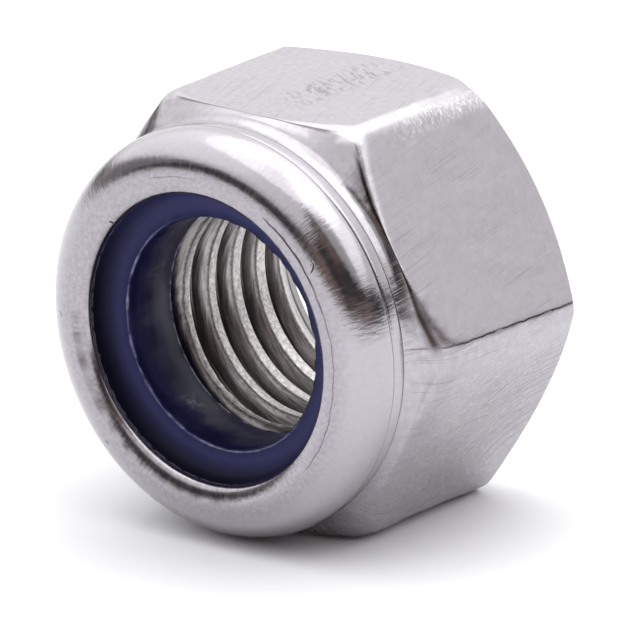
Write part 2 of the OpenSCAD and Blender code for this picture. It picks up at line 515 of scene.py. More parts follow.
def on_the_flat(tree, point):
    """A point in the plane of its own flat: across it, along the nut, and the flat's own number."""
    from_axis = add_node(tree, "ShaderNodeVectorMath", {0: point, 1: AXIS_POINT}, operation="SUBTRACT")
    way = add_node(tree, "ShaderNodeSeparateXYZ", {0: from_axis}).node.outputs
    angle = add_node(tree, "ShaderNodeMath", {0: way["Z"], 1: way["X"]}, operation="ARCTAN2")
    turn = add_node(tree, "ShaderNodeMath", {0: angle, 1: math.pi / 3}, operation="DIVIDE")
    number = add_node(tree, "ShaderNodeMath", {0: turn}, operation="FLOOR")
    share = add_node(tree, "ShaderNodeMath", {0: turn}, operation="FRACT")
    off = add_node(
        tree, "ShaderNodeMath", {0: share, 1: math.pi / 3, 2: -math.pi / 6}, operation="MULTIPLY_ADD"
    )
    slope = add_node(tree, "ShaderNodeMath", {0: off}, operation="TANGENT")
    across = add_node(tree, "ShaderNodeMath", {0: slope, 1: FLAT_DISTANCE}, operation="MULTIPLY")
    apart = add_node(tree, "ShaderNodeMath", {0: number, 1: FLATS_APART}, operation="MULTIPLY")
    return add_node(tree, "ShaderNodeCombineXYZ", {"X": across, "Y": way["Y"], "Z": apart}), number


def hair_lines(tree, flat_point, angle, width, length, share):
    """Fine straight scratches on a flat at an angle to the nut; share is how many of them show."""
    turned = add_node(
        tree, "ShaderNodeVectorRotate", {"Vector": flat_point, "Angle": angle},
        rotation_type="Z_AXIS"
    )
    drawn_out = add_node(
        tree, "ShaderNodeVectorMath", {0: turned, 1: (1 / width, 1 / length, 1)}, operation="MULTIPLY"
    )
    noise = add_node(tree, "ShaderNodeTexNoise", {"Vector": drawn_out, "Scale": 1.0, "Detail": 1.0})
    # Only the peaks of the noise show, and a greater share lowers the level that they start from
    return add_node(
        tree, "ShaderNodeMapRange",
        {"Value": noise, "From Min": 0.78 - share, "From Max": 0.86 - share}
    )


def near(tree, point, centre, reach, softness=0.25):
    """One inside a box about a centre, with that half size, and nothing outside it."""
    away = add_node(tree, "ShaderNodeVectorMath", {0: point, 1: centre}, operation="SUBTRACT")
    scaled = add_node(tree, "ShaderNodeVectorMath", {0: away, 1: reach}, operation="DIVIDE")
    sizes = add_node(tree, "ShaderNodeVectorMath", {0: scaled}, operation="ABSOLUTE")
    sides = add_node(tree, "ShaderNodeSeparateXYZ", {0: sizes}).node.outputs
    wide = add_node(tree, "ShaderNodeMath", {0: sides["X"], 1: sides["Y"]}, operation="MAXIMUM")
    far = add_node(tree, "ShaderNodeMath", {0: wide, 1: sides["Z"]}, operation="MAXIMUM")
    return add_node(
        tree, "ShaderNodeMapRange",
        {"Value": far, "From Min": 1 - softness, "From Max": 1 + softness, **FALLING}
    )


STEEL_COLOUR = linear("#B5B1B7")
STEEL_SCRATCHED = "#8F8A90"
STEEL_STRUCK_AND_HIGHLIT = "#DCDADC"
STEEL_GRIME_AND_SHADE = "#4A4140"

# Patterns by the size of one patch of them, in millimetres
HAIRS_APART = 2.5
MOTTLE = 0.3226
GRINDING = 0.14286
CROOKED = 0.90909
FACING = 0.16667
SWELL = 2.0

# Scratches by their width and length in millimetres, and how many of them show. Real hairs are
# finer than a pixel, so they are drawn 0.04 to 0.05 mm wide.
HAIRS = (0.04, 6.0, 0.18)
SCATTERED_HAIRS = (0.05, 2.0, 0.05)
SCUFF_STROKES = (0.16, 0.6, 0.26)
HATCHING = (0.07, 0.4, 0.24)

# Marks by their centre and half size in millimetres: across the flat, along the nut, and the
# number of the flat times FLATS_APART. The right flat's number is 0, the top one's 1 and the
# lower one's -1.
SCUFFED = ((-0.6, 2.4, FLATS_APART), (0.95, 3.0, 1.0))
GROUND = ((0.2, 3.6, -FLATS_APART), (2.8, 3.0, 1.0))
WHEEL_CENTRE = (-4.5, 6.5, -FLATS_APART)
STRUCK = ((5.0, 4.0, 0.0), (0.6, 3.6, 1.0))
RUBBED_BELOW = ((5.35, 0.5, 0.0), (0.22, 4.0, 1.0))
RUBBED_ABOVE = ((-5.35, 0.5, FLATS_APART), (0.2, 4.0, 1.0))
SEAM = ((-4.83, 1.6, 0.0), (0.045, 5.0, 1.0))

# Painted highlight at the front tip of the upper right edge: a point of the nut and a half size
TIP_HIGHLIGHT = ((5.3, -2.7, 18.75), (0.5, 0.28, 0.35))


def drawn_steel():
    """Flats of drawn bar: a dull satin with hair-fine scratches along the nut and a faint mottle."""
    made, tree, shader = new_look(
        "drawn stainless steel", {"Base Color": STEEL_COLOUR, "Metallic": 1, "Roughness": 0.3}
    )
    point = in_millimetres(tree)
    flat_point, number = on_the_flat(tree, point)
    # The hairs lean a little more from one flat to the next, and come in patches
    lean = add_node(tree, "ShaderNodeMath", {0: number, 1: 0.17, 2: 0.17}, operation="MULTIPLY_ADD")
    across = add_node(tree, "ShaderNodeMath", {0: lean, 1: 1.2}, operation="ADD")
    patches = add_node(
        tree, "ShaderNodeTexNoise", {"Vector": point, "Scale": 1 / HAIRS_APART, "Detail": 2.0}
    )
    where = add_node(tree, "ShaderNodeMapRange", {"Value": patches, "From Min": 0.38, "From Max": 0.55})
    hairs = hair_lines(tree, flat_point, lean, *HAIRS)
    scattered = hair_lines(tree, flat_point, across, *SCATTERED_HAIRS)
    lines = add_node(tree, "ShaderNodeMath", {0: hairs, 1: where}, operation="MULTIPLY")
    all_lines = add_node(tree, "ShaderNodeMath", {0: lines, 1: scattered}, operation="MAXIMUM")

    # The front chamfer was turned on a lathe: it is smoother than the flats and has no hairs
    outward, radius, depth = round_the_axis(tree, point)
    tilt_way = (math.cos(TILT_TOWARDS), 0, math.sin(TILT_TOWARDS))
    tilted = add_node(
        tree, "ShaderNodeVectorMath", {0: outward, 1: tilt_way}, output="Value",
        operation="DOT_PRODUCT"
    )
    inward = layered(tree, depth, ((tilted, SHOULDER_TILT), (radius, -math.tan(FRONT_ANGLE))))
    shoulder = NUT_HEIGHT / 2 - SHOULDER_HEIGHT + SHOULDER_DROP
    cone_level = shoulder - FLAT_DISTANCE * math.tan(FRONT_ANGLE)
    cone = add_node(tree, "ShaderNodeMapRange", {
        "Value": inward, "From Min": cone_level, "From Max": cone_level + 0.2, **FALLING,
    })
    beside = add_node(tree, "ShaderNodeMath", {0: 1.0, 1: cone}, operation="SUBTRACT")
    scratches = add_node(tree, "ShaderNodeMath", {0: all_lines, 1: beside}, operation="MULTIPLY")
    mottle = add_node(tree, "ShaderNodeTexNoise", {
        "Vector": point, "Scale": 1 / MOTTLE, "Detail": 3.0, "Roughness": 0.65,
    })

    # Top flat: a patch scuffed rough by short slanting strokes
    local_patch = near(tree, flat_point, *SCUFFED, 0.4)
    strokes = hair_lines(tree, flat_point, 1.1, *SCUFF_STROKES)
    scuffs = add_node(tree, "ShaderNodeMath", {0: local_patch, 1: strokes}, operation="MULTIPLY")

    # Lower flat: arcs of a coarse grinding wheel, round a centre below them
    ground = near(tree, flat_point, *GROUND, 0.5)
    wheel = add_node(
        tree, "ShaderNodeVectorMath", {0: flat_point, 1: WHEEL_CENTRE}, output="Value",
        operation="DISTANCE"
    )
    ring_point = add_node(tree, "ShaderNodeCombineXYZ", {"X": wheel})
    rings = add_node(
        tree, "ShaderNodeTexNoise", {"Vector": ring_point, "Scale": 1 / GRINDING, "Detail": 1.0}
    )
    arcs = add_node(tree, "ShaderNodeMapRange", {"Value": rings, "From Min": 0.46, "From Max": 0.6})
    grooves = add_node(tree, "ShaderNodeMath", {0: arcs, 1: ground}, operation="MULTIPLY")

    # Upper right edge: rubbed bare and bright on both its sides, with short marks of the blow hatched
    # over its lower border, and a painted highlight at its front tip
    struck = near(tree, flat_point, *STRUCK, 0.5)
    hatching = hair_lines(tree, flat_point, 1.35, *HATCHING)
    hatch = add_node(tree, "ShaderNodeMath", {0: struck, 1: hatching}, operation="MULTIPLY")
    tip_highlight = near(tree, point, *TIP_HIGHLIGHT, 0.3)
    lower_side = near(tree, flat_point, *RUBBED_BELOW, 0.5)
    upper_side = near(tree, flat_point, *RUBBED_ABOVE, 0.5)
    both_sides = add_node(tree, "ShaderNodeMath", {0: lower_side, 1: upper_side}, operation="MAXIMUM")
    partly = add_node(tree, "ShaderNodeMath", {0: beside, 1: 0.6}, operation="MULTIPLY")
    rubbed_bare = add_node(tree, "ShaderNodeMath", {0: both_sides, 1: partly}, operation="MULTIPLY")
    bare = add_node(tree, "ShaderNodeMath", {0: rubbed_bare, 1: tip_highlight}, operation="MAXIMUM")
    bright = add_node(tree, "ShaderNodeMath", {0: hatch, 1: bare}, operation="MAXIMUM")

    # Edge to the right: a crooked dark line where the rubbed facet begins
    borders = add_node(tree, "ShaderNodeSeparateXYZ", {0: flat_point}).node.outputs
    crooked = add_node(
        tree, "ShaderNodeTexNoise", {"Vector": point, "Scale": 1 / CROOKED, "Detail": 4.0}
    )
    wandering = layered(tree, borders["X"], ((borders["Y"], 0.03), (crooked, 0.22)))
    seam_point = add_node(
        tree, "ShaderNodeCombineXYZ", {"X": wandering, "Y": borders["Y"], "Z": borders["Z"]}
    )
    seam_line = near(tree, seam_point, *SEAM, 0.5)
    thinned = add_node(
        tree, "ShaderNodeMapRange", {"Value": crooked, "From Min": 0.3, "From Max": 0.5, "To Min": 0.4}
    )
    seam = add_node(tree, "ShaderNodeMath", {0: seam_line, 1: thinned}, operation="MULTIPLY")

    # Bearing face: rings left by the facing tool
    faced = add_node(
        tree, "ShaderNodeMapRange",
        {"Value": depth, "From Min": NUT_HEIGHT / 2 - 0.1, "From Max": NUT_HEIGHT / 2 - 0.02}
    )
    turned_point = add_node(tree, "ShaderNodeCombineXYZ", {"X": radius})
    turned = add_node(
        tree, "ShaderNodeTexNoise", {"Vector": turned_point, "Scale": 1 / FACING, "Detail": 2.0}
    )
    turning = add_node(tree, "ShaderNodeMath", {0: turned, 1: faced}, operation="MULTIPLY")

    dulled = add_node(tree, "ShaderNodeMapRange", {
        "Value": mottle, "From Min": 0.35, "From Max": 0.65, "To Min": 0.0, "To Max": 0.22,
    })
    marked = layered(tree, dulled, ((scratches, 0.6), (scuffs, 0.8), (grooves, 0.7)))
    darkening = add_node(tree, "ShaderNodeAttribute", output="Fac", attribute_name="darkening")
    all_darkening = add_node(tree, "ShaderNodeMath", {0: darkening, 1: seam}, operation="MAXIMUM")
    coats = ((marked, STEEL_SCRATCHED), (bright, STEEL_STRUCK_AND_HIGHLIT), (all_darkening, STEEL_GRIME_AND_SHADE))
    rough = add_node(tree, "ShaderNodeMapRange", {
        "Value": mottle, "From Min": 0.3, "From Max": 0.7, "To Min": 0.24, "To Max": 0.36,
    })

    # The flat is a little wavy, which clouds what it reflects
    swell = add_node(tree, "ShaderNodeTexNoise", {"Vector": point, "Scale": 1 / SWELL, "Detail": 2.0})
    wavy = add_node(
        tree, "ShaderNodeBump", {"Height": swell, "Strength": 1.0, "Distance": 0.09 * MM}
    )
    cuts = ((lines, -0.4), (scuffs, -2.5), (grooves, -4.0), (hatch, -1.5), (turning, 2.0))
    dress(
        tree, shader, painted(tree, STEEL_COLOUR, coats), layered(tree, rough, [(cone, -0.12)]),
        layered(tree, mottle, cuts), 0.005, Normal=wavy
    )
    return made


LIP_GAP_SHADE = "#2B2B50"

# Patterns in millimetres: streaks over the roll by their width and length, the rings that the
# turning left by their step and length, and the patches of the mottle and of the pressed grain
STREAK_WIDTH = 0.155
STREAK_LENGTH = 0.90909
RING_STEP = 0.111111
RING_LENGTH = 1.86
ROLL_MOTTLE = 0.45455
PRESSED_GRAIN = 0.2

# Nicks in the roll: distance from the axis and bearing in degrees, half length, half width, and
# the degrees that each is turned by
NICKS = (
    (8.05, -179, 0.17, 0.03, 50),
    (8.0, -135, 0.15, 0.03, 20),
    (7.95, 35, 0.28, 0.05, 100),
    (6.75, 137, 0.12, 0.05, 40),
)


def rolled_steel():
    """The rolled collar: burnished bright, with short streaks across the roll and turned rings."""
    made, tree, shader = new_look("rolled stainless steel", {
        "Base Color": STEEL_COLOUR, "Metallic": 1, "Roughness": 0.17, "Specular IOR Level": 0.05,
    })
    point = in_millimetres(tree)
    outward, radius, depth = round_the_axis(tree, point)
    section = add_node(tree, "ShaderNodeMath", {0: radius, 1: depth}, operation="ADD")
    lengthwise = add_node(
        tree, "ShaderNodeMath", {0: section, 1: 1 / STREAK_LENGTH}, operation="MULTIPLY"
    )
    raised = add_node(tree, "ShaderNodeCombineXYZ", {"Y": lengthwise})
    streak_point = add_node(
        tree, "ShaderNodeVectorMath", {0: outward, 1: [COLLAR_R / STREAK_WIDTH] * 3, 2: raised},
        operation="MULTIPLY_ADD"
    )
    streaks = add_node(
        tree, "ShaderNodeTexNoise", {"Vector": streak_point, "Scale": 1.0, "Detail": 2.0}
    )
    fine = add_node(tree, "ShaderNodeMath", {0: section, 1: 1 / RING_STEP}, operation="MULTIPLY")
    stacked = add_node(tree, "ShaderNodeCombineXYZ", {"Y": fine})
    ring_point = add_node(
        tree, "ShaderNodeVectorMath", {0: outward, 1: [COLLAR_R / RING_LENGTH] * 3, 2: stacked},
        operation="MULTIPLY_ADD"
    )
    rings = add_node(tree, "ShaderNodeTexNoise", {"Vector": ring_point, "Scale": 1.0, "Detail": 2.0})
    mottle = add_node(tree, "ShaderNodeTexNoise", {
        "Vector": point, "Scale": 1 / ROLL_MOTTLE, "Detail": 5.0, "Roughness": 0.7,
    })
    grain = add_node(tree, "ShaderNodeTexNoise", {
        "Vector": point, "Scale": 1 / PRESSED_GRAIN, "Detail": 3.0, "Roughness": 0.7,
    })
    # The face that the rolling tool pressed is grainy, and the round beside it is burnished
    burnished = add_node(tree, "ShaderNodeMapRange", {
        "Value": radius, "From Min": 7.6, "From Max": 8.4, "To Min": 0.25, "To Max": 1.0,
    })
    pressed = add_node(tree, "ShaderNodeMath", {0: 1.25, 1: burnished}, operation="SUBTRACT")

    nicks = None
    for from_axis, degrees, length, width, turn in NICKS:
        spot = (
            from_axis * math.cos(math.radians(degrees)),
            0,
            from_axis * math.sin(math.radians(degrees)) + FLAT_DISTANCE,
        )
        placed = add_node(
            tree, "ShaderNodeMapping",
            {"Vector": point, "Location": spot, "Rotation": (0, math.radians(turn), 0),
             "Scale": (length, 1000, width)},
            vector_type="TEXTURE"
        )
        bent = add_node(tree, "ShaderNodeSeparateXYZ", {0: placed}).node.outputs
        curve = add_node(tree, "ShaderNodeMath", {0: bent["X"], 1: 2.0}, operation="POWER")
        bow = layered(tree, bent["Z"], [(curve, 1.6)])
        shaped = add_node(tree, "ShaderNodeCombineXYZ", {"X": bent["X"], "Z": bow})
        away = add_node(tree, "ShaderNodeVectorMath", {0: shaped}, output="Value", operation="LENGTH")
        nick = add_node(tree, "ShaderNodeMapRange", {
            "Value": away, "From Min": 0.6, "From Max": 1.1, **FALLING,
        })
        nicks = nick if nicks is None else add_node(
            tree, "ShaderNodeMath", {0: nicks, 1: nick}, operation="MAXIMUM"
        )

    dulled = add_node(tree, "ShaderNodeMapRange", {
        "Value": grain, "From Min": 0.35, "From Max": 0.7, "To Min": 0.25, "To Max": 0.8,
    })
    pressed_dull = add_node(tree, "ShaderNodeMath", {0: dulled, 1: pressed}, operation="MULTIPLY")
    # Painted shade: the wall of the lip's opening, behind its edge, is dull dark blue and not metal
    inner = add_node(tree, "ShaderNodeMapRange", {
        "Value": radius, "From Min": LIP_R + 0.01, "From Max": LIP_R + 0.04, **FALLING,
    })
    behind_lip = add_node(tree, "ShaderNodeMapRange", {
        "Value": depth, "From Min": NUT_HEIGHT / 2 - 13.5, "From Max": NUT_HEIGHT / 2 - 13.3,
    })
    shaded_gap = add_node(tree, "ShaderNodeMath", {0: inner, 1: behind_lip}, operation="MULTIPLY")
    # Darkening from the outline: painted shade in the fold, and streaks on the lower left of the lip
    darkening = add_node(tree, "ShaderNodeAttribute", output="Fac", attribute_name="darkening")
    marked = add_node(tree, "ShaderNodeMath", {0: nicks, 1: darkening}, operation="MAXIMUM")
    coats = ((pressed_dull, STEEL_SCRATCHED), (marked, STEEL_GRIME_AND_SHADE), (shaded_gap, LIP_GAP_SHADE))
    bare = add_node(tree, "ShaderNodeMath", {0: 1.0, 1: shaded_gap}, operation="SUBTRACT")
    tree.links.new(bare, shader.inputs["Metallic"])
    rough = add_node(tree, "ShaderNodeMapRange", {
        "Value": streaks, "From Min": 0.3, "From Max": 0.7, "To Min": 0.12, "To Max": 0.2,
    })
    dull = layered(tree, rough, ((pressed, 0.04), (shaded_gap, 0.6)))
    streaky = add_node(tree, "ShaderNodeMath", {0: streaks, 1: burnished}, operation="MULTIPLY")
    rubbed = add_node(tree, "ShaderNodeMath", {0: grain, 1: pressed}, operation="MULTIPLY")
    waves = ((rings, 0.25), (mottle, 1.0), (rubbed, 0.5), (nicks, -3.0))
    dress(
        tree, shader, painted(tree, STEEL_COLOUR, coats), dull, layered(tree, streaky, waves), 0.007
    )
    return made


THREAD_COLOUR = linear("#D8D4D2")
THREAD_TORN = "#858082"

# Patterns in millimetres: plough marks by their step and length, and the patches of torn metal
PLOUGH_STEP = 0.0714286
PLOUGH_LENGTH = 1.3
TORN_GRAIN = 0.16667


def tapped_steel():
    """The cut thread: grainy where its crests are torn, and ploughed along the helix by the tap."""
    made, tree, shader = new_look(
        "tapped stainless steel", {"Base Color": STEEL_COLOUR, "Metallic": 1, "Roughness": 0.28}
    )
    point = in_millimetres(tree)
    outward, radius, depth = round_the_axis(tree, point)
    section = add_node(tree, "ShaderNodeMath", {0: radius, 1: depth}, operation="ADD")
    fine = add_node(tree, "ShaderNodeMath", {0: section, 1: 1 / PLOUGH_STEP}, operation="MULTIPLY")
    stacked = add_node(tree, "ShaderNodeCombineXYZ", {"Y": fine})
    plough_point = add_node(
        tree, "ShaderNodeVectorMath",
        {0: outward, 1: [THREAD_MINOR_R / PLOUGH_LENGTH] * 3, 2: stacked}, operation="MULTIPLY_ADD"
    )
    ploughed = add_node(
        tree, "ShaderNodeTexNoise", {"Vector": plough_point, "Scale": 1.0, "Detail": 3.0}
    )
    torn = add_node(tree, "ShaderNodeTexNoise", {
        "Vector": point, "Scale": 1 / TORN_GRAIN, "Detail": 3.0, "Roughness": 0.7,
    })
    bore = add_node(tree, "ShaderNodeMapRange", {
        "Value": depth,
        "From Min": NUT_HEIGHT / 2 - SEAT_HEIGHT,
        "From Max": NUT_HEIGHT / 2,
        "To Min": THREAD_MINOR_R,
        "To Max": MOUTH_CREST_R,
    })
    below = add_node(tree, "ShaderNodeMath", {0: radius, 1: bore}, operation="SUBTRACT")
    crest = add_node(tree, "ShaderNodeMapRange", {
        "Value": below, "From Min": 0.06, "From Max": 0.16, **FALLING,
    })
    root = add_node(tree, "ShaderNodeMapRange", {
        "Value": below, "From Min": 0.05, "From Max": THREAD_MAJOR_R - THREAD_MINOR_R,
    })
    grit = add_node(tree, "ShaderNodeMapRange", {"Value": torn, "From Min": 0.42, "From Max": 0.62})
    grain = add_node(tree, "ShaderNodeMath", {0: grit, 1: crest}, operation="MULTIPLY")
    lines = add_node(tree, "ShaderNodeMapRange", {
        "Value": ploughed, "From Min": 0.45, "From Max": 0.62, "To Min": 0.45, "To Max": 1.0,
    })
    flank = add_node(tree, "ShaderNodeMath", {0: 1.0, 1: crest}, operation="SUBTRACT")
    plough_lines = add_node(tree, "ShaderNodeMath", {0: lines, 1: flank}, operation="MULTIPLY")
    marks = layered(tree, plough_lines, [(grain, 0.6)])
    # Painted shade: the thread is darker towards the roots of its grooves
    deep = add_node(tree, "ShaderNodeMath", {0: root, 1: 0.9}, operation="MULTIPLY")
    # The last turn before the ring is torn, and dark with what was left in it
    entry = add_node(tree, "ShaderNodeMapRange", {
        "Value": depth,
        "From Min": NUT_HEIGHT / 2 - SEAT_HEIGHT + 0.5,
        "From Max": NUT_HEIGHT / 2 - SEAT_HEIGHT + 1.0,
        **FALLING,
    })
    dark_share = add_node(tree, "ShaderNodeMapRange", {
        "Value": ploughed, "From Min": 0.35, "From Max": 0.65, "To Min": 0.8, "To Max": 0.3,
    })
    cake = add_node(tree, "ShaderNodeMath", {0: entry, 1: dark_share}, operation="MULTIPLY")
    shade_and_cake = add_node(tree, "ShaderNodeMath", {0: deep, 1: cake}, operation="MAXIMUM")
    coats = ((marks, THREAD_TORN), (shade_and_cake, STEEL_GRIME_AND_SHADE))
    rough = add_node(tree, "ShaderNodeMapRange", {"Value": crest, "To Min": 0.26, "To Max": 0.36})
    relief = layered(tree, ploughed, [(grain, 1.5)])
    dress(tree, shader, painted(tree, THREAD_COLOUR, coats), rough, relief, 0.009)
    return made


flats_steel = drawn_steel()
collar_steel = rolled_steel()
thread_steel = tapped_steel()


def swept(outlines, closed):
    """A surface through equal outlines, one for each column round the axis."""
    across = len(outlines[0])
    last = across if closed else across - 1
    mesh = bpy.data.meshes.new("swept")
    angles = [column_angle(column) for column in range(COLUMNS)]
    points = [place(r, angle, h) for angle, outline in zip(angles, outlines) for r, h in outline]
    faces = [
        (
            column * across + i,
            column * across + (i + 1) % across,
            (column + 1) % COLUMNS * across + (i + 1) % across,
            (column + 1) % COLUMNS * across + i,
        )
        for column in range(COLUMNS)
        for i in range(last)
    ]
    mesh.from_pydata(points, [], faces)
    return mesh


def put_in_scene(name, data):
    """An object for a mesh, a lamp or a camera, linked to the scene."""
    made = bpy.data.objects.new(name, data)
    bpy.context.scene.collection.objects.link(made)
    return made


def finished(name, meshes, slots):
    """Joins meshes into one closed piece that faces outwards; slots are each mesh's materials."""
    work = bmesh.new()
    for mesh in meshes:
        work.from_mesh(mesh)
    bmesh.ops.remove_doubles(work, verts=work.verts, dist=WELD)
    bmesh.ops.recalc_face_normals(work, faces=work.faces)
    for face in work.faces:
        face.smooth = True
    open_edges = sum(1 for edge in work.edges if len(edge.link_faces) != 2)
    print(name, "triangles", sum(len(f.verts) - 2 for f in work.faces), "open edges", open_edges)
    mesh = bpy.data.meshes.new(name)
    work.to_mesh(mesh)
    work.free()
    for material in slots:
        mesh.materials.append(material)
    return put_in_scene(name, mesh)


wall = put_in_scene("threaded_wall", bpy.data.meshes.new("threaded_wall"))
winding = wall.modifiers.new("threaded wall", "NODES")
winding.node_group = thread_tree()
rows = math.ceil((SEAT_HEIGHT / PITCH + 1) * ROWS_PER_PITCH)
thread_sizes = {
    "Pitch": PITCH,
    "Crest radius": THREAD_MINOR_R,
    "Root radius": THREAD_MAJOR_R,
    "Crest height": CREST_HEIGHT,
    "Seat height": SEAT_HEIGHT,
    "Grid height": rows * PITCH / ROWS_PER_PITCH,
    "Countersink radius": COUNTERSINK_R,
    "Cone depth": (COUNTERSINK_R - THREAD_MINOR_R) / CONE_SLOPE,
    "Lead-in radius": THREAD_MINOR_R + LEAD_IN * CONE_SLOPE,
    "Lead-in height": SEAT_HEIGHT - LEAD_IN,
    "Crowding": CORNER_CROWDING / 6,
    "Mouth crest radius": MOUTH_CREST_R,
    "Crest share": CREST_SHARE,
    "Mouth crest share": MOUTH_CREST_SHARE,
    "Tear depth": TEAR_DEPTH,
    "First tear depth": FIRST_TEAR_DEPTH,
    "Tears": TEARS_PER_MM,
    "Columns": COLUMNS + 1,
    "Rows": rows + 1,
    "Bearing face": Vector((0, NUT_HEIGHT / 2, FLAT_DISTANCE)) * MM,
    "Scale": Vector((1, -1, 1)) * MM,
    "Material": thread_steel,
}
for item in winding.node_group.interface.items_tree:
    if item.in_out == "INPUT" and item.name in thread_sizes:
        winding[item.identifier] = thread_sizes[item.name]
depsgraph = bpy.context.evaluated_depsgraph_get()
wall_mesh = bpy.data.meshes.new_from_object(wall.evaluated_get(depsgraph))
bpy.data.objects.remove(wall)

runs = [body_outline(column_angle(column)) for column in range(COLUMNS)]
lengths = [len(run) for run in runs[0]]
outline_points = sum(lengths)
hexagon_points = sum(lengths[:2])
shell = swept([[point for run in section for point in run] for section in runs], closed=False)

# The steel is darkened along the front edge of the flats where it isn't worn away, and in uneven
# streaks on the lower left of the lip, between two bearings in degrees; the fold of the lip is
# darkened as painted shade. Each share of it goes to one point of the outline, counted from the
# countersink.
EDGE_END = lengths[0] + EDGE_STEPS + 2
FOLD_MIDDLE = sum(lengths[:3]) + 1
LIP_START = sum(lengths[:4])
STREAKED = (175, 285)
STREAK_SHARES = (0.2, 0.4, 0.6, 0.7, 0.7, 0.7, 0.7, 0.6, 0.5, 0.3, 0.2, 0.2, 0.2, 0.2)

darkening = shell.attributes.new("darkening", "FLOAT", "POINT")
for column in range(COLUMNS):
    angle = column_angle(column)
    off_corner = abs((angle + math.pi / 6) % (math.pi / 3) - math.pi / 6)
    unworn = 1 - worn_share(angle)
    unworn *= min(max(math.degrees(off_corner) / DARKENED_EDGE_FADE - 1, 0), 1)
    dark_share = between(angle, *DARKENED_EDGE, DARKENED_EDGE_FADE)
    chamfer_dark = CHAMFER_DARKENING * between(angle, *DARKENED_CHAMFER, DARKENING_FADE)
    streaks = between(angle, *STREAKED, DARKENING_FADE)
    streaks *= 0.5 + 0.5 * math.sin(71 * angle) * math.sin(113 * angle)
    shares = {
        EDGE_END - 2: 0.6 * dark_share,
        EDGE_END - 1: max(unworn, dark_share),
        EDGE_END: max(0.6 * unworn, dark_share),
        EDGE_END + 1: 0.5 * dark_share + chamfer_dark,
        # Painted shade along the groove of the fold
        FOLD_MIDDLE: fold_share(angle),
    }
    shares.update((step, chamfer_dark) for step in range(EDGE_END + 2, hexagon_points))
    shares.update((LIP_START + step, share * streaks) for step, share in enumerate(STREAK_SHARES))
    for step, share in shares.items():
        darkening.data[column * outline_points + step].value = share
for face in shell.polygons:
    if face.index % (outline_points - 1) >= hexagon_points:
        face.material_index = 1
for face in wall_mesh.polygons:
    face.material_index = 2
body = finished("steel_body", [shell, wall_mesh], [flats_steel, collar_steel, thread_steel])
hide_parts("nut_body")
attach(body, "root")

# Nylon ring: a moulded washer of dark blue nylon, dropped on its seat before the lip is rolled over
# it. Its bore is plain and a little smaller than the bolt, which presses its own thread into it.
NYLON_BORE_R = 5.25
NYLON_CHAMFER = 0.15
BURR_R = 5.36
BURR_HEIGHT = 0.06
BURR_WIDTH = 0.03
SQUEEZED_R = 6.59
SQUEEZED_ROUND = 0.88
RAGGED = 0.03
NYLON_COLOUR = linear("#36375F")
NYLON_RIM_SHADE = "#0C0C1B"
NYLON_SHADED = linear("#18183A")
NYLON_PAINTED_REFLECTION = "#2A2A4C"
NYLON_BRUISED_AND_HIGHLIT = "#9494AE"
# A painted highlight on the bore, by its centre and half size in millimetres
BORE_HIGHLIGHT = ((-3.05, -3.9, 5.2), (0.3, 0.3, 0.3))

# Patterns by the size of one patch of them, in millimetres
BURR_BREAKS = 0.4
SHREDS = 0.43478
BORE_WAVES = (2.85714, 1.0, 2.85714)
RADIAL_GRAIN = 0.075


def ring_outline(angle):
    """One section of the ring: a torn burr at the front of its bore, a rim squeezed up by the lip."""
    wander = 0.03 * math.sin(17 * angle) + 0.02 * math.sin(43 * angle + 2)
    burr = BURR_R + wander
    torn = BURR_HEIGHT * (0.6 + 0.4 * math.sin(29 * angle) * math.sin(7 * angle))
    face = NYLON_TOP - BURR_HEIGHT
    rim = face + SQUEEZED_ROUND + RAGGED * (math.sin(47 * angle) + math.sin(89 * angle + 1))
    return [
        (NYLON_BORE_R, SEAT_HEIGHT + NYLON_CHAMFER),
        (NYLON_BORE_R, face - NYLON_CHAMFER),
        (burr - BURR_WIDTH, face - BURR_WIDTH),
        (burr, face + torn),
        (burr + BURR_WIDTH, face),
        (NYLON_BORE_R + 3 * NYLON_CHAMFER, face),
        *arc((SQUEEZED_R - SQUEEZED_ROUND, face + SQUEEZED_ROUND), SQUEEZED_ROUND, -90, -5, 12),
        (SQUEEZED_R, rim),
        (SQUEEZED_R, NYLON_TOP),
        *arc((NYLON_R - NYLON_CORNER, NYLON_TOP - NYLON_CORNER), NYLON_CORNER, 90, 0, 5),
        (NYLON_R, SEAT_HEIGHT),
        (NYLON_BORE_R + NYLON_CHAMFER, SEAT_HEIGHT),
    ]


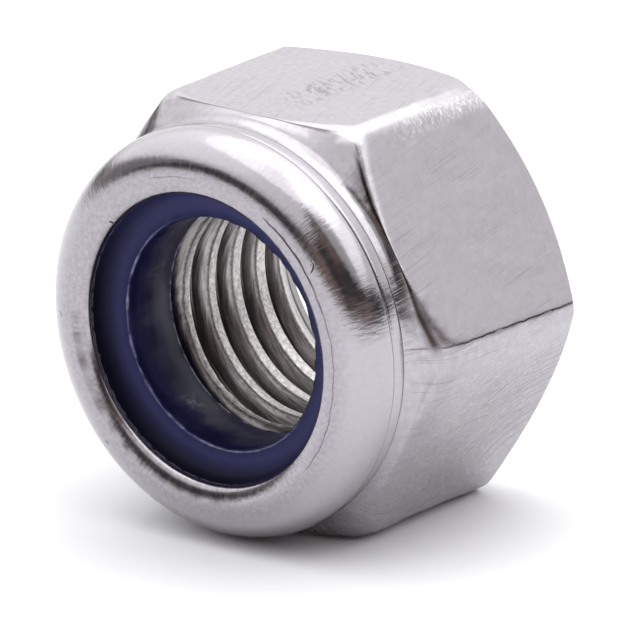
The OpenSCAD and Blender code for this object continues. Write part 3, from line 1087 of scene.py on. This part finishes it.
def moulded_nylon():
    """Nylon as moulded: a dull face with a faint grain, a glossy uneven bore and a whitened burr."""
    made, tree, shader = new_look("moulded nylon", {"Specular IOR Level": 0.08})
    point = in_millimetres(tree)
    outward, radius, depth = round_the_axis(tree, point)
    bore = add_node(tree, "ShaderNodeMapRange", {
        "Value": radius, "From Min": NYLON_BORE_R + 0.03, "From Max": BURR_R, **FALLING,
    })
    burr_away = add_node(tree, "ShaderNodeMath", {0: radius, 1: BURR_R}, operation="SUBTRACT")
    burr_far = add_node(tree, "ShaderNodeMath", {0: burr_away}, operation="ABSOLUTE")
    burr = add_node(tree, "ShaderNodeMapRange", {
        "Value": burr_far, "From Min": 0.015, "From Max": 0.05, **FALLING,
    })
    forward = add_node(tree, "ShaderNodeMapRange", {
        "Value": depth,
        "From Min": NUT_HEIGHT / 2 - NYLON_TOP + 0.1,
        "From Max": NUT_HEIGHT / 2 - NYLON_TOP + 0.2,
        **FALLING,
    })
    breaks = add_node(
        tree, "ShaderNodeTexNoise", {"Vector": point, "Scale": 1 / BURR_BREAKS, "Detail": 3.0}
    )
    broken = add_node(tree, "ShaderNodeMapRange", {"Value": breaks, "From Min": 0.25, "From Max": 0.7})
    edge = add_node(tree, "ShaderNodeMath", {0: burr, 1: forward}, operation="MULTIPLY")
    down_left = add_node(
        tree, "ShaderNodeVectorMath", {0: outward, 1: (-0.7, 0, -0.7)}, output="Value",
        operation="DOT_PRODUCT"
    )
    torn_side = add_node(tree, "ShaderNodeMapRange", {
        "Value": down_left, "From Min": -0.3, "From Max": 0.1,
    })
    torn_edge = add_node(tree, "ShaderNodeMath", {0: edge, 1: torn_side}, operation="MULTIPLY")
    front_edge = add_node(tree, "ShaderNodeMath", {0: torn_edge, 1: broken}, operation="MULTIPLY")
    # Shreds of nylon and steel stand at the rear edge of the bore, where the thread begins
    rear_edge = add_node(tree, "ShaderNodeMapRange", {
        "Value": depth,
        "From Min": NUT_HEIGHT / 2 - SEAT_HEIGHT - 0.26,
        "From Max": NUT_HEIGHT / 2 - SEAT_HEIGHT - 0.22,
    })
    bits = add_node(tree, "ShaderNodeTexNoise", {"Vector": point, "Scale": 1 / SHREDS, "Detail": 5.0})
    ragged = add_node(tree, "ShaderNodeMapRange", {"Value": bits, "From Min": 0.4, "From Max": 0.58})
    rear_bore = add_node(tree, "ShaderNodeMath", {0: rear_edge, 1: bore}, operation="MULTIPLY")
    shreds = add_node(tree, "ShaderNodeMath", {0: rear_bore, 1: ragged}, operation="MULTIPLY")
    white = add_node(tree, "ShaderNodeMath", {0: front_edge, 1: shreds}, operation="MAXIMUM")
    # Painted highlight: a soft light spot on the bore
    highlight_shape = add_node(tree, "ShaderNodeMapRange", {"Value": bits, "From Min": 0.45, "From Max": 0.75})
    highlight_spot = near(tree, point, *BORE_HIGHLIGHT, 0.8)
    local_patch = add_node(tree, "ShaderNodeMath", {0: highlight_spot, 1: highlight_shape}, operation="MULTIPLY")
    bruised_and_highlit = add_node(tree, "ShaderNodeMath", {0: white, 1: local_patch}, operation="MAXIMUM")
    # Bore: darker than the face as painted shade, and lighter in patches along its waves as painted
    # reflections
    drawn_out = add_node(
        tree, "ShaderNodeVectorMath", {0: point, 1: BORE_WAVES}, operation="DIVIDE"
    )
    waves = add_node(tree, "ShaderNodeTexNoise", {"Vector": drawn_out, "Scale": 1.0, "Detail": 1.0})
    reflection_patches = add_node(tree, "ShaderNodeMapRange", {"Value": waves, "From Min": 0.42, "From Max": 0.62})
    inside = painted(tree, NYLON_SHADED, [(reflection_patches, NYLON_PAINTED_REFLECTION)])
    moulded = add_node(
        tree, "ShaderNodeMix", {"Factor": bore, "A": NYLON_COLOUR, "B": inside},
        output="Result", data_type="RGBA"
    )
    # Painted shade: the rim under the lip is darkened, most of all on the left
    rim = add_node(
        tree, "ShaderNodeMapRange", {"Value": radius, "From Min": 5.7, "From Max": SQUEEZED_R},
        interpolation_type="SMOOTHSTEP"
    )
    leftward = add_node(tree, "ShaderNodeMapRange", {
        "Value": down_left, "From Min": -0.6, "From Max": 0.6, "To Min": 0.25, "To Max": 0.95,
    })
    rim_shade = add_node(tree, "ShaderNodeMath", {0: rim, 1: leftward}, operation="MULTIPLY")
    coats = ((rim_shade, NYLON_RIM_SHADE), (bruised_and_highlit, NYLON_BRUISED_AND_HIGHLIT))
    gloss = add_node(tree, "ShaderNodeMapRange", {"Value": bore, "To Min": 0.46, "To Max": 0.26})

    # Bore: long shallow waves round it; face: a fine radial grain
    swollen = add_node(tree, "ShaderNodeMath", {0: waves, 1: bore}, operation="MULTIPLY")
    radial_point = add_node(
        tree, "ShaderNodeVectorMath", {0: outward, 1: [NYLON_BORE_R / RADIAL_GRAIN] * 3},
        operation="MULTIPLY"
    )
    radial = add_node(tree, "ShaderNodeTexNoise", {"Vector": radial_point, "Scale": 1.0, "Detail": 2.0})
    relief = layered(tree, radial, [(swollen, 5.0)])
    dress(tree, shader, painted(tree, moulded, coats), gloss, relief, 0.01)
    return made


ring_sections = [ring_outline(column_angle(column)) for column in range(COLUMNS)]
ring = finished("nylon_ring", [swept(ring_sections, closed=True)], [moulded_nylon()])
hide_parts("nylon_insert")
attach(ring, "root")

# Floor: white paper that runs out past every view, and keeps the nut's soft shadow. It lies a
# hundredth of a millimetre below the nut, so that no two surfaces share one plane.
FLOOR_REACH = 3.0
FLOOR_GAP = 0.01 * MM

floor_mesh = bpy.data.meshes.new("floor")
floor_mesh.from_pydata(
    [(x * FLOOR_REACH, y * FLOOR_REACH, -FLOOR_GAP) for x, y in ((-1, -1), (1, -1), (1, 1), (-1, 1))],
    [], [(0, 1, 2, 3)]
)
floor = put_in_scene("floor", floor_mesh)
paper_look = {"Base Color": linear("#F4F4F6"), "Roughness": 0.9, "Specular IOR Level": 0}
floor_mesh.materials.append(new_look("white paper", paper_look)[0])

# Studio: soft white light from overhead and from a backdrop behind the nut, and a dim brown room
# before it with a tall dark screen on its right. The lowest three degrees are white all round, as
# the far end of the paper. A level is given as the sine of its elevation.
SWEEP_TOP = math.sin(math.radians(3))
ROOM_EDGE = (math.sin(math.radians(22)), math.sin(math.radians(3)))
ROOM_SLANT = (-0.3, 0.95, 0)
SCREEN_HEIGHT = 0.5
SCREEN_LEFT = (math.radians(-1), math.radians(46))
SCREEN_RIGHT = (math.radians(85), math.radians(93))
EDGE_SOFTNESS = 0.045
BACKDROP_LIGHT = 1.0
BACKDROP_SLANT = (-0.26, 0.22, 0)
OVERHEAD_LIGHT = 1.33
OVERHEAD_SLANT = (-0.1, 0.22, 0)
OVERHEAD_EDGE = (math.sin(math.radians(24)), math.sin(math.radians(38)))
ROOM_COLOUR = "#867268"
ROOM_SHADE = linear("#3E3A3B")

world = bpy.data.worlds.new("studio")
bpy.context.scene.world = world
world.use_nodes = True
tree = world.node_tree
direction = add_node(tree, "ShaderNodeTexCoord", output="Generated")
way = add_node(tree, "ShaderNodeSeparateXYZ", {0: direction}).node.outputs
height = way["Z"]
level = add_node(tree, "ShaderNodeVectorMath", {0: direction, 1: (1, 1, 0)}, operation="MULTIPLY")
bearing = add_node(tree, "ShaderNodeVectorMath", {0: level}, operation="NORMALIZE")
behind, slant, high_slant = [
    add_node(
        tree, "ShaderNodeVectorMath", {0: bearing, 1: slope}, output="Value",
        operation="DOT_PRODUCT"
    )
    for slope in (ROOM_SLANT, BACKDROP_SLANT, OVERHEAD_SLANT)
]
room = add_node(tree, "ShaderNodeMapRange", {
    "Value": behind,
    "From Min": -0.2,
    "From Max": 0.95,
    "To Min": ROOM_EDGE[0],
    "To Max": ROOM_EDGE[1],
}, interpolation_type="SMOOTHSTEP")
forward = add_node(tree, "ShaderNodeMath", {0: way["Y"], 1: -1.0}, operation="MULTIPLY")
round_to_right = add_node(tree, "ShaderNodeMath", {0: way["X"], 1: forward}, operation="ARCTAN2")
left_side, right_side = [
    add_node(tree, "ShaderNodeMapRange", {
        "Value": round_to_right, "From Min": start, "From Max": end, "To Min": low, "To Max": high,
    }, interpolation_type="SMOOTHSTEP")
    for (start, end), low, high in ((SCREEN_LEFT, 0.0, SCREEN_HEIGHT), (SCREEN_RIGHT, 1.0, 0.0))
]
screen = add_node(tree, "ShaderNodeMath", {0: left_side, 1: right_side}, operation="MULTIPLY")
edge = add_node(tree, "ShaderNodeMath", {0: room, 1: screen}, operation="ADD")
over = add_node(tree, "ShaderNodeMath", {0: height, 1: edge}, operation="SUBTRACT")
above = add_node(tree, "ShaderNodeMapRange", {
    "Value": over, "From Min": -EDGE_SOFTNESS, "From Max": EDGE_SOFTNESS,
}, interpolation_type="SMOOTHSTEP")
backdrop = add_node(tree, "ShaderNodeMath", {0: slant, 1: BACKDROP_LIGHT}, operation="ADD")
overhead = add_node(tree, "ShaderNodeMath", {0: high_slant, 1: OVERHEAD_LIGHT}, operation="ADD")
bright = add_node(tree, "ShaderNodeMapRange", {
    "Value": height,
    "From Min": OVERHEAD_EDGE[0],
    "From Max": OVERHEAD_EDGE[1],
    "To Min": backdrop,
    "To Max": overhead,
}, interpolation_type="SMOOTHSTEP")
shapes = add_node(tree, "ShaderNodeTexNoise", {"Vector": direction, "Scale": 3.0, "Detail": 1.0})
patches = add_node(tree, "ShaderNodeMapRange", {"Value": shapes, "From Min": 0.52, "From Max": 0.62})
dim = painted(tree, ROOM_SHADE, [(patches, ROOM_COLOUR)])
white = add_node(tree, "ShaderNodeCombineXYZ", {"X": bright, "Y": bright, "Z": bright})
lit = add_node(
    tree, "ShaderNodeMix", {"Factor": above, "A": dim, "B": white},
    output="Result", data_type="RGBA"
)
sweep = add_node(tree, "ShaderNodeMapRange", {
    "Value": height, "From Min": SWEEP_TOP, "From Max": SWEEP_TOP + 0.01, **FALLING,
})
shown = painted(tree, lit, [(sweep, "#FFFFFF")])
tree.links.new(shown, tree.nodes["Background"].inputs["Color"])

# Lamps: a wide soft one almost straight overhead, and two that keep the nut's shadow light, on its
# left and on its right. Each is given by its elevation and its bearing round to the right from the
# bearing face, both in degrees, its size in metres and its watts.
LAMP_DISTANCE = 0.5
LAMPS = {
    "overhead": (83, 0, 0.75, 1.1),
    "left light": (45, -105, 0.8, 0.38),
    "right light": (52, 80, 0.6, 0.48),
}

for name, (elevation, azimuth, size, watts) in LAMPS.items():
    lamp_data = bpy.data.lights.new(name, "AREA")
    lamp_data.shape = "DISK"
    lamp_data.size = size
    lamp_data.energy = watts
    lamp = put_in_scene(name, lamp_data)
    lean = math.cos(math.radians(elevation))
    lamp_way = Vector((
        lean * math.sin(math.radians(azimuth)),
        lean * math.cos(math.radians(azimuth)),
        math.sin(math.radians(elevation)),
    ))
    lamp.location = lamp_way * LAMP_DISTANCE
    lamp.rotation_euler = lamp_way.to_track_quat("Z", "Y").to_euler()

# Camera: a long lens from a little above, turned by two degrees, as in the photograph
CAMERA_AZIMUTH = math.radians(39.677)
CAMERA_ELEVATION = math.radians(18.084)
CAMERA_ROLL = math.radians(-2.007)
CAMERA_DISTANCE = 394.5
CAMERA_TARGET = Vector((0, -2.5, 9.5))
TARGET_RIGHT = 2.2
TARGET_UP = -0.04
SENSOR = 36.0
LENS = 8985.15 / 630 * SENSOR

towards = Vector((
    math.sin(CAMERA_AZIMUTH) * math.cos(CAMERA_ELEVATION),
    -math.cos(CAMERA_AZIMUTH) * math.cos(CAMERA_ELEVATION),
    math.sin(CAMERA_ELEVATION),
))
level_right = Vector((math.cos(CAMERA_AZIMUTH), math.sin(CAMERA_AZIMUTH), 0))
level_up = towards.cross(level_right)
right = math.cos(CAMERA_ROLL) * level_right + math.sin(CAMERA_ROLL) * level_up
up = towards.cross(right)
aim = CAMERA_TARGET + TARGET_RIGHT * level_right + TARGET_UP * level_up
camera_data = bpy.data.cameras.new("camera")
camera_data.sensor_width = SENSOR
camera_data.lens = LENS
camera_data.clip_start = 0.01
camera = put_in_scene("camera", camera_data)
turn = Matrix((right, up, towards)).transposed().to_4x4()
camera.matrix_world = Matrix.Translation((aim + CAMERA_DISTANCE * towards) * MM) @ turn
bpy.context.scene.camera = camera

bpy.context.scene.view_settings.view_transform = "Standard"
